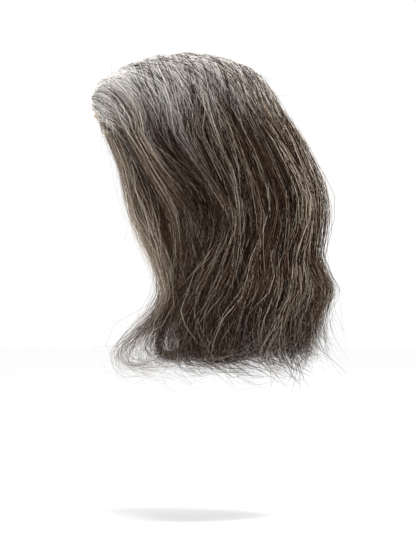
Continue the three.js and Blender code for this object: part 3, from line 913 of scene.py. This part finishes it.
def cap_seam(azimuth):
    turned = np.abs(np.where(azimuth > 180, azimuth - 360, azimuth))
    behind_ear = smooth(turned, EAR_SEAM_AZIMUTH - EAR_SEAM_BLEND, EAR_SEAM_AZIMUTH + EAR_SEAM_BLEND)
    return cap_edge(azimuth) - mix(LACE_DEPTH_ANGLE, NAPE_BAND_ANGLE, behind_ear)


def shaped_grid(name, columns, rows, place):
    """A grid of squares laid over a surface: place gives its points by the shares across and down."""
    bpy.ops.object.select_all(action="DESELECT")
    bpy.ops.mesh.primitive_grid_add(x_subdivisions=columns, y_subdivisions=rows, size=1)
    piece = bpy.context.object
    piece.name = name
    corners = np.empty(3 * len(piece.data.vertices), np.float32)
    piece.data.vertices.foreach_get("co", corners)
    points = place(corners[0::3] + 0.5, 0.5 - corners[1::3]) * MM
    piece.data.vertices.foreach_set("co", points.astype(np.float32).ravel())
    piece.data.update()
    return piece


def thicken(piece, wall):
    """Gives a sheet its thickness, outwards from the head, and rounds its shading."""
    bpy.ops.object.modifier_add(type="SOLIDIFY")
    piece.modifiers[-1].thickness = wall * MM
    piece.modifiers[-1].offset = 1
    bpy.ops.object.modifier_apply(modifier=piece.modifiers[-1].name)
    bpy.ops.object.shade_smooth_by_angle(angle=SHADE_ANGLE)


def between(low, high):
    """Places of a strip of the cap between two azimuths, from the seam down to the edge."""
    def place(across, down, lift):
        azimuth = mix(low, high, across)
        top = cap_seam(azimuth) + SEAM_ANGLE
        return head_points(azimuth, mix(top, cap_edge(azimuth), down), lift)
    return place


def lace_front():
    """The sheer strip along the hairline, with a net of fine threads in diamonds."""
    strip = between(SEAM_ANGLE - EAR_SEAM_AZIMUTH, EAR_SEAM_AZIMUTH - SEAM_ANGLE)
    columns, rows = LACE["columns"], LACE["rows"]
    film = shaped_grid("lace_film", columns, rows, lambda across, down: strip(across, down, LACE["lift"]))
    thicken(film, LACE["wall"])

    middle = LACE["lift"] + LACE["wall"] / 2
    threads = shaped_grid("lace_threads", columns, rows, lambda across, down: strip(across, down, middle))
    bpy.ops.object.mode_set(mode="EDIT")
    bpy.ops.mesh.select_all(action="SELECT")
    bpy.ops.mesh.poke()
    bpy.ops.mesh.tris_convert_to_quads(face_threshold=math.pi, shape_threshold=math.pi)
    bpy.ops.object.mode_set(mode="OBJECT")
    bpy.ops.object.modifier_add(type="WIREFRAME")
    threads.modifiers[-1].thickness = LACE["thread"] * MM
    threads.modifiers[-1].use_even_offset = False
    bpy.ops.object.modifier_apply(modifier=threads.modifiers[-1].name)
    return film, threads


def crown_place(across, down):
    """A square laid over the crown as a disc."""
    u, v = 2 * across - 1, 2 * down - 1
    wide = np.abs(u) >= np.abs(v)
    reach = np.where(wide, u, v)
    safe = np.where(reach == 0, 1, reach)
    turn = np.where(wide, math.pi / 4 * v / safe, math.pi / 2 - math.pi / 4 * u / safe)
    x, y = reach * np.cos(turn), reach * np.sin(turn)
    return head_points(np.degrees(np.arctan2(x, y)), CROWN_ANGLE * np.hypot(x, y), NET["lift"])


def net_cap():
    """The stretch net over the crown and down the sides, and the bands that carry the wefts inside it."""
    crown = shaped_grid("net_crown", NET["crown_grid"], NET["crown_grid"], crown_place)
    thicken(crown, NET["wall"])

    def side_place(across, down):
        azimuth = 360 * across
        return head_points(azimuth, mix(CROWN_ANGLE + SEAM_ANGLE, cap_seam(azimuth), down), NET["lift"])
    sides = shaped_grid("net_sides", NET["side_columns"], NET["side_rows"], side_place)
    bpy.ops.object.mode_set(mode="EDIT")
    bpy.ops.mesh.select_all(action="SELECT")
    bpy.ops.mesh.remove_doubles(threshold=MERGE_GAP * MM)
    bpy.ops.object.mode_set(mode="OBJECT")
    thicken(sides, NET["wall"])

    azimuths = np.arange(0, 181)
    bands = []
    for polar in np.arange(WEFT["first"], cap_seam(np.array([180.0]))[0] - WEFT["clear"], WEFT["step"]):
        covered = azimuths[cap_seam(azimuths) > polar + WEFT["clear"]]
        start = covered.min()

        def band_place(across, down, start=start, polar=polar):
            half = np.degrees(WEFT["half_width"] / HEAD_HEIGHT)
            return head_points(mix(start, 360 - start, across), polar + mix(-half, half, down), WEFT["lift"])
        band = shaped_grid("weft_bands", WEFT["columns"], 2, band_place)
        thicken(band, WEFT["wall"])
        bands.append(band)
    for band in bands:
        band.select_set(True)
    bpy.ops.object.join()
    wefts = bpy.context.object
    wefts.name = "weft_bands"
    return crown, sides, wefts


def nape_band():
    """Ribbed elastic along the lower back edge of the cap."""
    strip = between(EAR_SEAM_AZIMUTH + SEAM_ANGLE, 360 - EAR_SEAM_AZIMUTH - SEAM_ANGLE)

    def place(across, down):
        rib = BAND["rib"] * np.sin(math.pi * BAND["ribs"] * down) ** 2
        return strip(across, down, BAND["lift"] + rib)
    band = shaped_grid("nape_elastic", BAND["columns"], BAND["rows"], place)
    thicken(band, BAND["wall"])
    return band


def fine_weave():
    """A fine irregular net: a mask that is 1 on the threads and 0 in the holes, by its cell size."""
    group = bpy.data.node_groups.new("fine_weave", "ShaderNodeTree")
    group.interface.new_socket("Cells", in_out="INPUT", socket_type="NodeSocketFloat")
    group.interface.new_socket("Threads", in_out="OUTPUT", socket_type="NodeSocketFloat")
    nodes, links = group.nodes, group.links
    given, result = nodes.new("NodeGroupInput"), nodes.new("NodeGroupOutput")
    place = nodes.new("ShaderNodeTexCoord")
    cells = nodes.new("ShaderNodeTexVoronoi")
    cells.feature = "DISTANCE_TO_EDGE"
    links.new(place.outputs["Object"], cells.inputs["Vector"])
    links.new(given.outputs["Cells"], cells.inputs["Scale"])
    edge = map_range(nodes, (0.06, 0.2), (1.0, 0.0))
    links.new(cells.outputs["Distance"], edge.inputs["Value"])
    links.new(edge.outputs["Result"], result.inputs["Threads"])
    return group


def woven_material(name, weave, cells, thread, hole, roughness):
    """Cloth with threads and holes of two tones and a fine relief."""
    made, nodes, links, shader = material(name)
    net = nodes.new("ShaderNodeGroup")
    net.node_tree = weave
    net.inputs["Cells"].default_value = cells
    tint = nodes.new("ShaderNodeMix")
    tint.data_type = "RGBA"
    tint.inputs["A"].default_value = hole
    tint.inputs["B"].default_value = thread
    links.new(net.outputs["Threads"], tint.inputs["Factor"])
    links.new(tint.outputs["Result"], shader.inputs["Base Color"])
    bump = nodes.new("ShaderNodeBump")
    bump.inputs["Strength"].default_value = 0.5
    bump.inputs["Distance"].default_value = 0.0002
    links.new(net.outputs["Threads"], bump.inputs["Height"])
    links.new(bump.outputs["Normal"], shader.inputs["Normal"])
    shader.inputs["Roughness"].default_value = roughness
    return made


def lace_materials():
    film, _, _, shader = material("lace_film")
    shader.inputs["Base Color"].default_value = colour(214, 192, 166)
    shader.inputs["Roughness"].default_value = 0.8
    shader.inputs["Alpha"].default_value = 0.14
    threads, _, _, shader = material("lace_threads")
    shader.inputs["Base Color"].default_value = colour(205, 182, 154)
    shader.inputs["Roughness"].default_value = 0.75
    return film, threads


def cap():
    weave = fine_weave()
    film_finish, thread_finish = lace_materials()
    net_finish = woven_material("stretch_net", weave, 700, colour(96, 82, 70), colour(58, 49, 42), 0.85)
    band_finish = woven_material("nape_elastic", weave, 1300, colour(78, 67, 58), colour(50, 43, 38), 0.8)
    film, threads = lace_front()
    crown, sides, wefts = net_cap()
    band = nape_band()
    finishes = [
        (film, film_finish, "lace", "lace_front"),
        (threads, thread_finish, "lace", "lace_front"),
        (crown, net_finish, "cap_net", "cap_crown"),
        (sides, net_finish, "cap_net", "cap_sides"),
        (wefts, net_finish, "cap_net", "cap_sides"),
        (band, band_finish, "nape_elastic", "nape_band"),
    ]
    for piece, finish, slot, node in finishes:
        piece.data.materials.append(finish)
        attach(piece, "root")
        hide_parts(node)


def studio():
    """Pale floor, soft lights and the camera, which looks along -X at the wearer's left."""
    bpy.ops.object.select_all(action="DESELECT")
    bpy.ops.mesh.primitive_plane_add(size=FLOOR_SIZE, location=(0, 0, FLOOR_Z))
    floor = bpy.context.object
    floor.name = "floor"
    bpy.ops.object.transform_apply(location=True, rotation=True, scale=True)
    made, _, _, shader = material("pale_floor")
    shader.inputs["Base Color"].default_value = (0.98, 0.98, 0.98, 1)
    shader.inputs["Roughness"].default_value = 0.9
    floor.data.materials.append(made)

    world = bpy.data.worlds.new("studio")
    world.use_nodes = True
    world.node_tree.nodes["Background"].inputs["Color"].default_value = (1, 1, 1, 1)
    world.node_tree.nodes["Background"].inputs["Strength"].default_value = 1.0
    bpy.context.scene.world = world
    bpy.context.scene.view_settings.view_transform = "Standard"

    for light in LIGHTS:
        aim = np.subtract(LIGHT_AIM, light["place"])
        tilt = math.pi - math.acos(aim[2] / np.linalg.norm(aim))
        turn = math.atan2(aim[0], -aim[1])
        bpy.ops.object.light_add(type="AREA", location=light["place"], rotation=(tilt, 0, turn))
        lamp = bpy.context.object
        lamp.name = light["name"]
        lamp.data.energy = light["watts"]
        lamp.data.size = light["size"]

    bpy.ops.object.camera_add(location=CAMERA_PLACE, rotation=(math.pi / 2, 0, math.pi / 2))
    camera = bpy.context.object
    camera.data.sensor_width = CAMERA_SENSOR
    camera.data.lens = CAMERA_SENSOR * CAMERA_PLACE[0] / VIEW_HEIGHT
    bpy.context.scene.camera = camera


hair()
cap()
studio()
